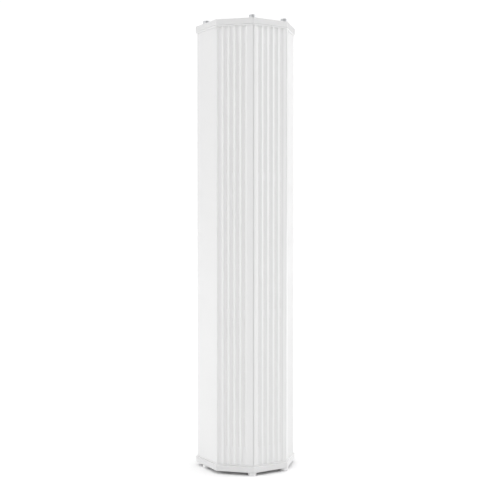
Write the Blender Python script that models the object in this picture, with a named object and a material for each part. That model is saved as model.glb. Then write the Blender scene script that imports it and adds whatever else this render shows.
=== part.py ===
"""Column public-address loudspeaker.

A tall aluminium column: a U-shaped rear shell and a fluted front panel are
clamped between two end caps by four screws at each end.  Behind the panel a
baffle carries four full-range drivers; a line transformer, the wiring loom and
the input socket complete it.  The front faces -Y, +Z is up, and z = 0 is the
plane of the lower screw heads that the column stands on.

Every size below is in millimetres; the meshes are scaled to metres as they are
made.
"""
import math

import bmesh
import bpy
from mathutils import Matrix, Vector

MM = 0.001
GAP = 0.3                # free gap between pieces that lie on each other

# ---- end caps --------------------------------------------------------------
CAP_TO_CAP = 640.0       # outer face to outer face of the two caps
CAP_THICK = 8.4
CAP_EDGE = 0.7           # broken edge of a cap
FRONT_HALF = 28.4        # half width of the flat front edge
CHAMFER_LEG = 39.0       # legs of the 45 degree front corners
SIDE_LONG = 63.0         # straight side behind the corner
HEAD_HIGH = 4.6          # screw head and washer, also the foot under the cap
HALF_TURN = math.tan(math.radians(22.5))
HALF_WIDE = FRONT_HALF + CHAMFER_LEG
REAR_Y = (CHAMFER_LEG + SIDE_LONG) / 2.0
FRONT_Y = -REAR_Y
CAP_LOW = HEAD_HIGH
CAP_HIGH = HEAD_HIGH + CAP_TO_CAP

# ---- column body -----------------------------------------------------------
OVERHANG = 2.0           # the caps stand proud of the body all round
SEAL_THICK = 1.4
SEAL_GAP = 0.2
BODY_LOW = CAP_LOW + CAP_THICK + SEAL_THICK + 2.0 * SEAL_GAP
BODY_HIGH = CAP_HIGH - CAP_THICK - SEAL_THICK - 2.0 * SEAL_GAP
BODY_HALF = HALF_WIDE - OVERHANG
BODY_FRONT_Y = FRONT_Y + OVERHANG
BODY_REAR_Y = REAR_Y - OVERHANG
RIDGE_X = FRONT_HALF - OVERHANG * HALF_TURN
SEAM_Y = BODY_FRONT_Y + BODY_HALF - RIDGE_X
SEAM_GAP = 0.1           # each half stops this far short of the seam
SIDE_WALL = 2.2
BACK_WALL = 2.4
CORNER_R = 3.0

# ---- fluted panel ----------------------------------------------------------
PANEL_WALL = 2.8
FLUTES = 5               # on each of the three faces
LAND = 0.8
PITCH_FRONT = 9.15
PITCH_CORNER = 8.65
RADIUS_FRONT = 6.2
RADIUS_CORNER = 5.8
FIRST_CORNER = 5.125      # middle of the flute next to the seam, from the seam
FLUTE_STEPS = (0.305, 0.66, 1.0)   # flat bottom, knee and rim, as parts of the half chord
SLOT_WIDE = 1.6
SLOT_SPANS = ((40.0, 222.0), (234.0, 416.0), (428.0, 610.0))
TONGUE_OUT = 62.7
TONGUE_IN = 60.3
TONGUE_BACK = -5.0
LIP_X = 56.0
LIP_FRONT = -12.6
LIP_BACK = -11.0
FOAM_THICK = 2.0
FOAM_SUNK = 0.26         # foam lies this far below the bottom of a flute

# ---- screws through the caps and the ports they turn into -------------------
FRONT_PORT = (26.5, -44.0)
REAR_PORT = (61.5, 26.0)
WASHER_R = 5.0
WASHER_HIGH = 1.0
HEAD_R = 4.7
FOOT_R = 5.9             # moulded foot round the head of a lower screw
SHANK_R = 1.95
SHANK_LONG = 22.0
PORT_BORE = 2.25
PORT_OUTER = 3.9
PORT_SLIT = 1.0          # half width of the open side of a port
SCREW_HOLE_R = 2.7

# ---- rear rail and its nuts ------------------------------------------------
RAIL_MOUTH = 3.5         # half width of the mouth
RAIL_HALF = 6.5
RAIL_WALL = 1.8
RAIL_FLOOR_Y = 41.4
RIB_X = 54.0
RIB_FRONT = -4.6
RIB_BACK = -2.6
NUT_HALF = 6.0
NUT_LONG = 20.0
NUT_FRONT, NUT_REAR = 42.4, 46.2
NUT_BORE = 2.5
RAIL_NUTS = (("lower", 180.0), ("upper", 470.0))

# ---- baffle, drivers and electrics -----------------------------------------
BAFFLE_FRONT, BAFFLE_BACK = -10.6, -5.1
BAFFLE_HALF = 59.9
DRIVER_Z = (172.0, 306.0, 440.0, 574.0)
FLANGE_R = 52.0
CUTOUT_R = 46.9
CLAMP_R = 54.2           # pitch radius of the screws round a driver
CLAMP_HOLE_R = 1.95
SIDES = 16               # facets of a turned piece
TRANSFORMER_Z = 88.0
SOCKET_Y = 10.0
SOCKET_HOLE_R = 12.4
LOOM_R = 2.4


# ---- small tools -----------------------------------------------------------

def clear_scene():
    for old in list(bpy.data.objects):
        bpy.data.objects.remove(old, do_unlink=True)


def finish(name, rgb, metallic, roughness):
    mat = bpy.data.materials.new(name)
    mat.use_nodes = True
    shader = mat.node_tree.nodes["Principled BSDF"]
    shader.inputs["Base Color"].default_value = (rgb[0], rgb[1], rgb[2], 1.0)
    shader.inputs["Metallic"].default_value = metallic
    shader.inputs["Roughness"].default_value = roughness
    return mat


def make_object(name, bm, mat, origin=(0.0, 0.0, 0.0)):
    """Turn a bmesh in millimetres into an object in metres, facing out."""
    bmesh.ops.remove_doubles(bm, verts=bm.verts, dist=1e-4)
    bmesh.ops.recalc_face_normals(bm, faces=bm.faces)
    bmesh.ops.translate(bm, verts=bm.verts, vec=-Vector(origin))
    bmesh.ops.scale(bm, verts=bm.verts, vec=(MM, MM, MM))
    mesh = bpy.data.meshes.new(name)
    bm.to_mesh(mesh)
    bm.free()
    item = bpy.data.objects.new(name, mesh)
    item.location = Vector(origin) * MM
    if mat:
        mesh.materials.append(mat)
    bpy.context.scene.collection.objects.link(item)
    return item


def arc(cx, cy, radius, start, end, steps):
    """Points on an arc, both ends included, angles in degrees."""
    points = []
    for i in range(steps + 1):
        angle = math.radians(start + (end - start) * i / steps)
        points.append((cx + radius * math.cos(angle), cy + radius * math.sin(angle)))
    return points


def ring(cx, cy, radius, count):
    step = 360.0 / count
    return arc(cx, cy, radius, step / 2.0, 360.0 - step / 2.0, count - 1)


def mirrored(points):
    return [(-x, y) for x, y in reversed(points)]


def raise_flat(bm, loops, low, high):
    """Fill a flat outline with its holes in XY and extrude it up."""
    edges = []
    for loop in loops:
        verts = [bm.verts.new((x, y, low)) for x, y in loop]
        for i, vert in enumerate(verts):
            edges.append(bm.edges.new((vert, verts[(i + 1) % len(verts)])))
    if len(loops) == 1:
        filled = bmesh.ops.contextual_create(bm, geom=edges)["faces"]
    else:
        filled = bmesh.ops.triangle_fill(bm, edges=edges, use_beauty=True)["geom"]
        filled = [item for item in filled if isinstance(item, bmesh.types.BMFace)]
    lifted = bmesh.ops.extrude_face_region(bm, geom=filled)["geom"]
    tops = [item for item in lifted if isinstance(item, bmesh.types.BMVert)]
    bmesh.ops.translate(bm, verts=tops, vec=(0.0, 0.0, high - low))


def stand_up(bm, back):
    """Turn a plate raised from z = 0 so that it stands in XZ, up to `back`."""
    turn = Matrix.Rotation(math.radians(90.0), 4, "X")
    bmesh.ops.transform(bm, matrix=turn, verts=bm.verts)
    bmesh.ops.translate(bm, verts=bm.verts, vec=(0.0, back, 0.0))


def plate_z(name, loops, low, high, mat):
    bm = bmesh.new()
    raise_flat(bm, loops, low, high)
    return make_object(name, bm, mat)


def plate_y(name, loops, front, back, mat, origin=(0.0, 0.0, 0.0)):
    bm = bmesh.new()
    raise_flat(bm, loops, 0.0, back - front)
    stand_up(bm, back)
    return make_object(name, bm, mat, origin)


def turned(name, profile, centre, axis, mat, origin=(0.0, 0.0, 0.0), sides=SIDES):
    """Spin a (radius, height) profile about an axis through a centre."""
    bm = bmesh.new()
    start = math.pi / sides
    across = Vector((math.cos(start), math.sin(start), 0.0))
    if axis.y:
        across = Vector((math.cos(start), 0.0, math.sin(start)))
    middle = Vector(centre)
    verts = [bm.verts.new(middle + across * r + axis * h) for r, h in profile]
    edges = [bm.edges.new(pair) for pair in zip(verts, verts[1:])]
    if profile[0][0] > 0.0:
        edges.append(bm.edges.new((verts[-1], verts[0])))
    bmesh.ops.spin(bm, geom=verts + edges, cent=middle, axis=axis, angle=math.tau,
                   steps=sides, use_merge=True, use_duplicate=False)
    return make_object(name, bm, mat, origin)


def cutter(name, boxes):
    """One hidden mesh of separate boxes, each the placing of a unit cube."""
    bm = bmesh.new()
    for placing in boxes:
        bmesh.ops.create_cube(bm, size=1.0, matrix=placing)
    tool = make_object(name, bm, None)
    tool.hide_render = True
    tool.display_type = "WIRE"
    return tool


def combine(item, tool, operation):
    step = item.modifiers.new(operation.lower(), "BOOLEAN")
    step.operation = operation
    step.solver = "EXACT"
    step.object = tool


# ---- caps, seals and their screws ------------------------------------------

def outline(inset, front_r=2.0, rear_r=4.0):
    """Column outline moved inwards: flat front, 45 degree corners, flat back."""
    side = HALF_WIDE - inset
    ridge = FRONT_HALF - inset * HALF_TURN
    front = FRONT_Y + inset
    rear = REAR_Y - inset
    seam = front + side - ridge
    near = max(front_r - inset / 2.0, 0.6)
    far = max(rear_r - inset, 0.8)
    back_off = near * HALF_TURN
    right = arc(ridge - back_off, front + near, near, 270.0, 315.0, 2)
    right += arc(side - near, seam + back_off, near, 315.0, 360.0, 2)
    right += arc(side - far, rear - far, far, 0.0, 90.0, 3)
    return right + mirrored(right)


def screw_spots():
    spots = []
    for end, (x, y) in (("front", FRONT_PORT), ("rear", REAR_PORT)):
        spots.append((end + "_left", -x, y))
        spots.append((end + "_right", x, y))
    return spots


def screw_holes(sides):
    return [ring(x, y, SCREW_HOLE_R, sides) for _, x, y in screw_spots()]


def build_cap(name, low, extra_holes, mat):
    """Flat cap with a hole for each screw and a broken edge top and bottom."""
    bm = bmesh.new()
    raise_flat(bm, [outline(0.0)] + screw_holes(12) + extra_holes, low, low + CAP_THICK)
    rim = []
    for edge in bm.edges:
        level = abs(edge.verts[0].co.z - edge.verts[1].co.z) < 1e-6
        outside = all(is_on_rim(vert.co) for vert in edge.verts)
        if level and outside and edge.calc_face_angle(0.0) > 1.0:
            rim.append(edge)
    bmesh.ops.bevel(bm, geom=rim, offset=CAP_EDGE, affect="EDGES", segments=1, profile=0.5)
    return make_object(name, bm, mat)


def is_on_rim(spot):
    """True on the outer outline, false on the edge of any hole."""
    if abs(spot.x) > HALF_WIDE - 3.0 and abs(abs(spot.x) - HALF_WIDE) < 1.6:
        return True
    if spot.y > REAR_Y - 1.6 or spot.y < FRONT_Y + 1.6:
        return True
    return abs(spot.x) - spot.y > HALF_WIDE - FRONT_Y - CHAMFER_LEG - 1.6


def build_seal(name, low, mat):
    """Rubber frame between a cap and the end of the body."""
    frame = [outline(OVERHANG + 0.1), outline(OVERHANG + 11.0, 1.0, 17.0)]
    return plate_z(name, frame + screw_holes(10), low, low + SEAL_THICK, mat)


def build_cap_screw(name, x, y, cap_face, way, mat):
    """Cap screw: a washer under the head at the top, a moulded foot round it at the bottom."""
    profile = [(0.0, -SHANK_LONG), (1.2, -SHANK_LONG), (SHANK_R, 1.2 - SHANK_LONG),
               (SHANK_R, 0.1)]
    if way > 0.0:
        profile += [(WASHER_R, 0.1), (WASHER_R, WASHER_HIGH), (HEAD_R, WASHER_HIGH),
                    (HEAD_R, 4.1), (4.2, HEAD_HIGH), (1.7, HEAD_HIGH), (0.0, 2.4)]
    else:
        profile += [(FOOT_R, 0.1), (FOOT_R, 4.0), (FOOT_R - 0.6, HEAD_HIGH), (1.7, HEAD_HIGH),
                    (0.0, 2.4)]
    axis = Vector((0.0, 0.0, way))
    return turned(name, profile, (x, y, cap_face), axis, mat, sides=12)


# ---- rear shell ------------------------------------------------------------

def port(cx, cy, start, end, open_side):
    """Open screw port of an extrusion: boss, slit, bore, slit, boss."""
    outer = math.degrees(math.asin(PORT_SLIT / PORT_OUTER))
    inner = math.degrees(math.asin(PORT_SLIT / PORT_BORE))
    points = arc(cx, cy, PORT_OUTER, start, open_side - outer, 4)
    points += arc(cx, cy, PORT_BORE, open_side - inner, open_side + inner - 360.0, 10)
    points += arc(cx, cy, PORT_OUTER, open_side + outer, end, 4)
    return points


def build_rear_shell(mat):
    """U-shaped extrusion: two sides, a back with its rail, two screw ports."""
    front = SEAM_Y + SEAM_GAP
    inner = BODY_HALF - SIDE_WALL
    back_in = BODY_REAR_Y - BACK_WALL
    rail_out = RAIL_HALF + RAIL_WALL
    rail_in_y = RAIL_FLOOR_Y - RAIL_WALL
    reach = math.degrees(math.acos((inner - REAR_PORT[0]) / PORT_OUTER))
    outside = [(BODY_HALF, front)]
    outside += arc(BODY_HALF - CORNER_R, BODY_REAR_Y - CORNER_R, CORNER_R, 0.0, 90.0, 3)
    outside += [(RAIL_MOUTH, BODY_REAR_Y), (RAIL_MOUTH, back_in), (RAIL_HALF, back_in),
                (RAIL_HALF, RAIL_FLOOR_Y)]
    inside = [(rail_out, rail_in_y), (rail_out, back_in), (inner, back_in)]
    inside += port(REAR_PORT[0], REAR_PORT[1], reach, 360.0 - reach, 180.0)
    inside += [(inner, RIB_BACK), (RIB_X, RIB_BACK), (RIB_X, RIB_FRONT), (inner, RIB_FRONT),
               (inner, front)]
    loop = outside + mirrored(outside) + mirrored(inside) + inside
    return plate_z("rear_shell", [loop], BODY_LOW, BODY_HIGH, mat)


# ---- fluted front panel ----------------------------------------------------

# start, end, flute pitch and flute radius of each face, from left to right
FACES = {"left": ((-BODY_HALF, SEAM_Y), (-RIDGE_X, BODY_FRONT_Y), PITCH_CORNER, RADIUS_CORNER),
         "front": ((-RIDGE_X, BODY_FRONT_Y), (RIDGE_X, BODY_FRONT_Y), PITCH_FRONT, RADIUS_FRONT),
         "right": ((RIDGE_X, BODY_FRONT_Y), (BODY_HALF, SEAM_Y), PITCH_CORNER, RADIUS_CORNER)}


def face_frame(side):
    """Start point, unit run, inward normal and length of one fluted face."""
    start, end = FACES[side][:2]
    run = Vector((end[0] - start[0], end[1] - start[1]))
    long = run.length
    run.normalize()
    return Vector(start), run, Vector((-run.y, run.x)), long


def on_face(side, along, depth):
    start, run, inward, _ = face_frame(side)
    spot = start + run * along + inward * depth
    return spot.x, spot.y


def flute_centres(side):
    """Flutes start at the seam on a corner face, which leaves a plain strip at the ridge."""
    long = face_frame(side)[3]
    pitch = FACES[side][2]
    row = (FLUTES - 1) * pitch
    first = {"left": FIRST_CORNER, "front": (long - row) / 2.0,
             "right": long - FIRST_CORNER - row}[side]
    return [first + k * pitch for k in range(FLUTES)]


def slotted_centres(side):
    """Flutes with slots: all but the one over the solid corner at the seam."""
    centres = flute_centres(side)
    return {"left": centres[1:], "front": centres, "right": centres[:-1]}[side]


def half_chord(side):
    return (FACES[side][2] - LAND) / 2.0


def flute_depth(side, off):
    """Depth of a flute, an arc, at a distance from its middle."""
    radius = FACES[side][3]
    return math.sqrt(radius ** 2 - off ** 2) - math.sqrt(radius ** 2 - half_chord(side) ** 2)


def fluted_outline(side):
    rim = half_chord(side)
    steps = [-part * rim for part in reversed(FLUTE_STEPS)] + [part * rim for part in FLUTE_STEPS]
    points = []
    for centre in flute_centres(side):
        points += [on_face(side, centre + off, flute_depth(side, off)) for off in steps]
    return points


def box_on_face(side, along, wide, depth0, depth1, low, high):
    """Placing of a unit cube as a box square to one fluted face."""
    _, run, inward, _ = face_frame(side)
    x, y = on_face(side, along, (depth0 + depth1) / 2.0)
    turn = Matrix(((run.x, inward.x, 0.0, x), (run.y, inward.y, 0.0, y),
                   (0.0, 0.0, 1.0, (low + high) / 2.0), (0.0, 0.0, 0.0, 1.0)))
    return turn @ Matrix.Diagonal((wide, depth1 - depth0, high - low, 1.0))


def slot_boxes(side, wide, depth0, depth1, shrink):
    """Boxes for the slots of one face."""
    boxes = []
    for centre in slotted_centres(side):
        for low, high in SLOT_SPANS:
            boxes.append(box_on_face(side, centre, wide, depth0, depth1, low + shrink,
                                     high - shrink))
    return boxes


def build_front_panel(mat):
    """Extruded panel: three fluted faces, screw ports, tongues that grip the baffle."""
    trim = SEAM_GAP
    outside = [(-BODY_HALF + trim, SEAM_Y - trim)]
    outside += fluted_outline("left") + [(-RIDGE_X, BODY_FRONT_Y)]
    outside += fluted_outline("front") + [(RIDGE_X, BODY_FRONT_Y)]
    outside += fluted_outline("right") + [(BODY_HALF - trim, SEAM_Y - trim)]
    cx, cy = FRONT_PORT
    front_in = BODY_FRONT_Y + PANEL_WALL
    lean = RIDGE_X - BODY_FRONT_Y - PANEL_WALL * math.sqrt(2.0)
    off_corner = (lean - cx + cy) / math.sqrt(2.0)
    start = -45.0 + math.degrees(math.acos(off_corner / PORT_OUTER))
    end = 270.0 - math.degrees(math.acos((cy - front_in) / PORT_OUTER))
    inside = [(TONGUE_OUT, SEAM_Y - trim), (TONGUE_OUT, TONGUE_BACK), (TONGUE_IN, TONGUE_BACK),
              (TONGUE_IN, LIP_BACK), (LIP_X, LIP_BACK), (LIP_X, LIP_FRONT),
              (LIP_FRONT + lean, LIP_FRONT)]
    inside += port(cx, cy, start, end, 120.0)
    loop = outside + inside + mirrored(inside)
    panel = plate_z("front_panel", [loop], BODY_LOW, BODY_HIGH, mat)
    slots = []
    for side in FACES:
        slots += slot_boxes(side, SLOT_WIDE, -1.0, PANEL_WALL + 1.0, 0.0)
    combine(panel, cutter("slot_cutter", slots), "DIFFERENCE")


def build_foam(side, mat):
    """Foam pad behind one face, with ribs that fill the sound slots."""
    near = PANEL_WALL + GAP
    far = near + FOAM_THICK
    long = face_frame(side)[3]
    start, end = {"left": (long - 46.0, long - 8.0), "front": (long / 2.0 - 21.5, long / 2.0 + 21.5),
                  "right": (8.0, 46.0)}[side]
    bm = bmesh.new()
    slab = box_on_face(side, (start + end) / 2.0, end - start, near, far, BODY_LOW + 3.0,
                       BODY_HIGH - 3.0)
    bmesh.ops.create_cube(bm, size=1.0, matrix=slab)
    pad = make_object("foam_" + side, bm, mat)
    sunk = flute_depth(side, FLUTE_STEPS[0] * half_chord(side)) + FOAM_SUNK
    ribs = slot_boxes(side, SLOT_WIDE - 2.0 * GAP, sunk, near + 1.0, GAP)
    combine(pad, cutter("rib_tool_" + side, ribs), "UNION")


# ---- baffle and drivers ----------------------------------------------------

def clamp_spots(cz):
    """Screws on the diagonals of a driver, just outside its flange."""
    reach = CLAMP_R / math.sqrt(2.0)
    return (("a", -reach, cz + reach), ("b", reach, cz + reach),
            ("c", -reach, cz - reach), ("d", reach, cz - reach))


def build_baffle(mat):
    """Plywood baffle held between the panel tongues and the shell ribs."""
    low, high = BODY_LOW + 0.4, BODY_HIGH - 0.4
    loops = [[(-BAFFLE_HALF, low), (BAFFLE_HALF, low), (BAFFLE_HALF, high), (-BAFFLE_HALF, high)]]
    for cz in DRIVER_Z:
        loops.append(ring(0.0, cz, CUTOUT_R, 24))
        loops += [ring(x, z, CLAMP_HOLE_R, 8) for _, x, z in clamp_spots(cz)]
    return plate_y("baffle", loops, BAFFLE_FRONT, BAFFLE_BACK, mat)


def build_basket(tag, cz, mat):
    """Pressed steel frame: flange, four windows between legs, rear seat."""
    profile = [(FLANGE_R, -12.9), (FLANGE_R, -10.9), (44.5, -10.9), (44.5, -6.0), (24.0, 14.0),
               (24.0, 17.0), (14.2, 17.0), (14.2, 15.6), (22.4, 15.6), (22.4, 13.4),
               (43.0, -6.6), (43.0, -12.9)]
    item = turned("driver_" + tag + "_basket", profile, (0.0, 0.0, cz), Vector((0.0, 1.0, 0.0)), mat)
    boxes = []
    for quarter in range(4):
        turn = Matrix.Rotation(math.radians(90.0 * quarter), 4, "Y")
        shift = Matrix.Translation((40.0, 4.0, 0.0))
        size = Matrix.Diagonal((28.0, 15.0, 26.0, 1.0))
        boxes.append(Matrix.Translation((0.0, 0.0, cz)) @ turn @ shift @ size)
    combine(item, cutter("window_cutter_" + tag, boxes), "DIFFERENCE")


def build_motor(tag, cz, mat):
    """Ferrite ring between its plates, pole piece and the voice-coil gap."""
    profile = [(0.0, 17.3), (11.8, 17.3), (11.8, 33.3), (20.0, 33.3), (20.0, 21.3),
               (13.8, 21.3), (13.8, 17.3), (27.0, 17.3), (27.0, 21.3), (30.0, 21.3),
               (30.0, 33.3), (27.0, 33.3), (27.0, 37.3), (0.0, 37.3)]
    turned("driver_" + tag + "_motor", profile, (0.0, 0.0, cz), Vector((0.0, 1.0, 0.0)), mat)


def build_spider(tag, cz, mat):
    """Corrugated centring disc between the voice coil and the frame."""
    profile = [(13.4, 11.6), (15.6, 12.6), (17.8, 11.6), (20.0, 12.6), (21.7, 12.0),
               (21.7, 12.5), (20.0, 13.2), (17.8, 12.2), (15.6, 13.2), (13.4, 12.2)]
    turned("driver_" + tag + "_spider", profile, (0.0, 0.0, cz), Vector((0.0, 1.0, 0.0)), mat)


def build_cone(tag, cz, mat):
    """Paper cone, dust cap and voice-coil former: the moving piece of a driver."""
    profile = [(0.0, 2.0), (7.0, 3.2), (13.0, 7.0), (34.6, -12.2), (38.0, -12.9), (38.0, -12.2),
               (34.8, -11.2), (13.1, 8.4), (13.1, 25.0), (12.5, 25.0), (12.5, 8.2), (7.0, 4.4),
               (0.0, 3.2)]
    turned("driver_" + tag + "_cone", profile, (0.0, 0.0, cz), Vector((0.0, 1.0, 0.0)), mat,
           (0.0, -12.9, cz))


def build_surround(tag, cz, mat):
    """Rubber half roll from the cone edge to the frame flange."""
    profile = [(35.6, -13.3), (38.6, -13.3), (40.0, -15.6), (41.8, -16.4), (43.6, -15.6),
               (45.0, -13.3), (49.6, -13.3), (49.6, -14.0), (45.5, -14.0), (44.2, -16.3),
               (41.8, -17.2), (39.4, -16.3), (38.1, -14.0), (35.6, -14.0)]
    turned("driver_" + tag + "_surround", profile, (0.0, 0.0, cz), Vector((0.0, 1.0, 0.0)), mat)


def build_driver_screw(name, x, z, mat):
    """Screw whose head clamps the rim of a driver flange onto the baffle."""
    profile = [(0.0, -16.2), (2.6, -16.2), (4.0, -14.9), (4.0, -13.2), (1.5, -13.2),
               (1.5, -5.6), (0.0, -5.6)]
    turned(name, profile, (x, 0.0, z), Vector((0.0, 1.0, 0.0)), mat, sides=8)


# ---- electrics and mounting ------------------------------------------------

def square(cx, cy, half_x, half_y):
    return [(cx - half_x, cy - half_y), (cx + half_x, cy - half_y), (cx + half_x, cy + half_y),
            (cx - half_x, cy + half_y)]


def build_transformer(core_mat, coil_mat):
    """Laminated core standing on the back of the baffle, and its winding."""
    front = BAFFLE_BACK + 0.4
    middle = front + 20.0
    core = [square(0.0, middle, 24.0, 20.0), square(12.0, middle, 4.0, 12.0),
            square(-12.0, middle, 4.0, 12.0)]
    plate_z("transformer_core", core, TRANSFORMER_Z - 8.0, TRANSFORMER_Z + 8.0, core_mat)
    coil = [square(0.0, TRANSFORMER_Z, 15.5, 15.5), square(0.0, TRANSFORMER_Z, 8.5, 8.5)]
    plate_y("transformer_coil", coil, middle - 11.6, middle + 11.6, coil_mat)


def build_socket(mat):
    """Round loudspeaker socket let into the bottom cap, open downwards."""
    profile = [(0.0, 5.0), (5.6, 5.0), (5.6, 22.0), (9.2, 22.0), (9.2, 2.4), (15.0, 2.4),
               (15.0, 4.3), (11.5, 4.3), (11.5, 38.0), (0.0, 38.0)]
    turned("input_socket", profile, (0.0, SOCKET_Y, 0.0), Vector((0.0, 0.0, 1.0)), mat)


def build_loom(mat):
    """Sleeved cable from the socket past the transformer to every driver."""
    path = [(0.0, SOCKET_Y, 38.6), (0.0, SOCKET_Y, 50.0), (30.0, 14.0, 72.0), (48.0, 29.0, 116.0)]
    for cz in DRIVER_Z:
        path.append((38.0, 22.0, cz))
        path.append((48.0, 30.0, cz + 67.0))
    path = path[:-1]
    line = bpy.data.curves.new("wiring_loom", "CURVE")
    line.dimensions = "3D"
    line.bevel_depth = LOOM_R * MM
    line.bevel_resolution = 1
    line.use_fill_caps = True
    line.resolution_u = 4
    spline = line.splines.new("BEZIER")
    spline.bezier_points.add(len(path) - 1)
    for knot, spot in zip(spline.bezier_points, path):
        knot.co = Vector(spot) * MM
        knot.handle_left_type = "AUTO"
        knot.handle_right_type = "AUTO"
    item = bpy.data.objects.new("wiring_loom", line)
    line.materials.append(mat)
    bpy.context.scene.collection.objects.link(item)


def build_rail_nut(tag, z, mat):
    """Threaded plate that slides in the rear rail and takes a wall bracket."""
    loops = [square(0.0, z, NUT_HALF, NUT_LONG / 2.0), ring(0.0, z, NUT_BORE, 12)]
    middle = (NUT_FRONT + NUT_REAR) / 2.0
    plate_y("rail_nut_" + tag, loops, NUT_FRONT, NUT_REAR, mat, (0.0, middle, z))


def build_drivers():
    for number, cz in enumerate(DRIVER_Z, 1):
        tag = str(number)
        build_basket(tag, cz, finish("driver_steel_" + tag, (0.05, 0.05, 0.055), 0.6, 0.5))
        build_motor(tag, cz, finish("ferrite_" + tag, (0.04, 0.04, 0.045), 0.2, 0.6))
        build_spider(tag, cz, finish("spider_cloth_" + tag, (0.45, 0.3, 0.12), 0.0, 0.9))
        build_cone(tag, cz, finish("cone_paper_" + tag, (0.03, 0.03, 0.03), 0.0, 0.85))
        build_surround(tag, cz, finish("surround_rubber_" + tag, (0.02, 0.02, 0.02), 0.0, 0.6))
        for mark, x, z in clamp_spots(cz):
            zinc = finish("driver_zinc_" + tag + mark, (0.6, 0.6, 0.62), 1.0, 0.35)
            build_driver_screw("driver_screw_" + tag + mark, x, z, zinc)


def build_ends():
    """Both caps with their seals and screws; the lower cap holds the socket."""
    white = (0.86, 0.86, 0.85)
    grey = (0.55, 0.55, 0.55)
    socket_hole = ring(0.0, SOCKET_Y, SOCKET_HOLE_R, SIDES)
    build_cap("bottom_cap", CAP_LOW, [socket_hole], finish("cap_white_bottom", white, 0.0, 0.45))
    build_cap("top_cap", CAP_HIGH - CAP_THICK, [], finish("cap_white_top", white, 0.0, 0.45))
    build_seal("bottom_gasket", CAP_LOW + CAP_THICK + SEAL_GAP,
               finish("seal_rubber_bottom", grey, 0.0, 0.8))
    build_seal("top_gasket", BODY_HIGH + SEAL_GAP, finish("seal_rubber_top", grey, 0.0, 0.8))
    for end, cap_face, way in (("top", CAP_HIGH, 1.0), ("bottom", CAP_LOW, -1.0)):
        for spot, x, y in screw_spots():
            zinc = finish("screw_zinc_" + end + "_" + spot, (0.62, 0.62, 0.63), 1.0, 0.3)
            build_cap_screw(end + "_screw_" + spot, x, y, cap_face, way, zinc)


def build_all():
    clear_scene()
    white = (0.86, 0.86, 0.85)
    build_rear_shell(finish("powder_white_shell", white, 0.0, 0.45))
    build_front_panel(finish("powder_white_panel", white, 0.0, 0.45))
    for side in FACES:
        build_foam(side, finish("foam_white_" + side, (0.84, 0.84, 0.83), 0.0, 0.9))
    build_ends()
    build_baffle(finish("baffle_plywood", (0.35, 0.24, 0.14), 0.0, 0.7))
    build_drivers()
    build_transformer(finish("core_steel", (0.12, 0.12, 0.13), 0.7, 0.5),
                      finish("coil_tape", (0.55, 0.4, 0.08), 0.0, 0.6))
    build_socket(finish("socket_plastic", (0.03, 0.03, 0.03), 0.0, 0.5))
    build_loom(finish("loom_sleeve", (0.04, 0.04, 0.04), 0.0, 0.6))
    for tag, z in RAIL_NUTS:
        build_rail_nut(tag, z, finish("nut_zinc_" + tag, (0.6, 0.6, 0.62), 1.0, 0.35))


build_all()
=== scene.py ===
# %% [markdown]
# # A slim column loudspeaker
# This lesson dresses a finished CAD model of a white column loudspeaker. The CAD part gives every
# dimension and every joint. Here its plain solids get the rounded edges, the fine flutes and the
# finishes of the real thing: powder-coated aluminium, zinc-plated screws, rubber and foam.
# We start by loading the CAD frame, because every later step measures from it.

# %% Load the frame and measure it
import math
import bmesh
import bpy
from mathutils import Matrix, Vector


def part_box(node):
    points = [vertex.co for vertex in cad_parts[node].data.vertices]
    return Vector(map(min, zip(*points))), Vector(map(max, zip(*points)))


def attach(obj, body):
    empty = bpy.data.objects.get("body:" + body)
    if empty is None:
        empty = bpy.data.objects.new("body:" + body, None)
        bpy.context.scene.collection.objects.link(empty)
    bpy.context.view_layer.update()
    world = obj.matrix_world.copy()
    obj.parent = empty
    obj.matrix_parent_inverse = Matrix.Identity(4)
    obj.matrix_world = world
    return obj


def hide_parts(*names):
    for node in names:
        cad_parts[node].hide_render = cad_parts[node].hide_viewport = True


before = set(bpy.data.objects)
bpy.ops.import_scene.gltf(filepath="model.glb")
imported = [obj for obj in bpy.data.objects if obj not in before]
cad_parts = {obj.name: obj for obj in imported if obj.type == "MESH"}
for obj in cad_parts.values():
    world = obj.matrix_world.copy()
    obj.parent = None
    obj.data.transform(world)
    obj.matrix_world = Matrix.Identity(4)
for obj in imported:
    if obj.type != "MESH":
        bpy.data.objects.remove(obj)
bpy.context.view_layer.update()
MM = 0.001

# %% [markdown]
# ## Heights that everything hangs on
# The column is a stack: rubber feet, bottom cap, seal, body, seal, top cap and screw heads.
# We read those heights from the CAD nodes, so the fine pieces land exactly where the solids are.


# %% Read the stack from the CAD nodes
def heights(node):
    """Lowest and highest point of a CAD node, in millimetres."""
    low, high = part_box(node)
    return low[2] / MM, high[2] / MM


cap_low, cap_low_top = heights("bottom_cap")
cap_high_under, cap_high = heights("top_cap")
body_low, body_high = heights("rear_shell")
print("body from", round(body_low, 2), "to", round(body_high, 2), "mm")

# %% [markdown]
# ## Colour numbers
# A paint chart gives sRGB hex values, but the shader wants linear light. One small function turns
# one into the other, and every colour in this lesson goes through it.


# %% Turn a hex colour into linear light
def linear(hex_code):
    """sRGB hex such as "E9E9E8" to a linear RGBA colour."""
    shades = [int(hex_code[at:at + 2], 16) / 255.0 for at in (0, 2, 4)]
    light = [s / 12.92 if s <= 0.04045 else ((s + 0.055) / 1.055) ** 2.4 for s in shades]
    return (*light, 1.0)


print("mid grey is", round(linear("808080")[0], 3), "in linear light")

# %% [markdown]
# ## One helper for every node
# All finishes are node trees. A single helper places a node, sets its options and its sockets, and
# joins its inputs to other nodes. Keeping just one helper makes the trees below read like recipes.


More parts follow.
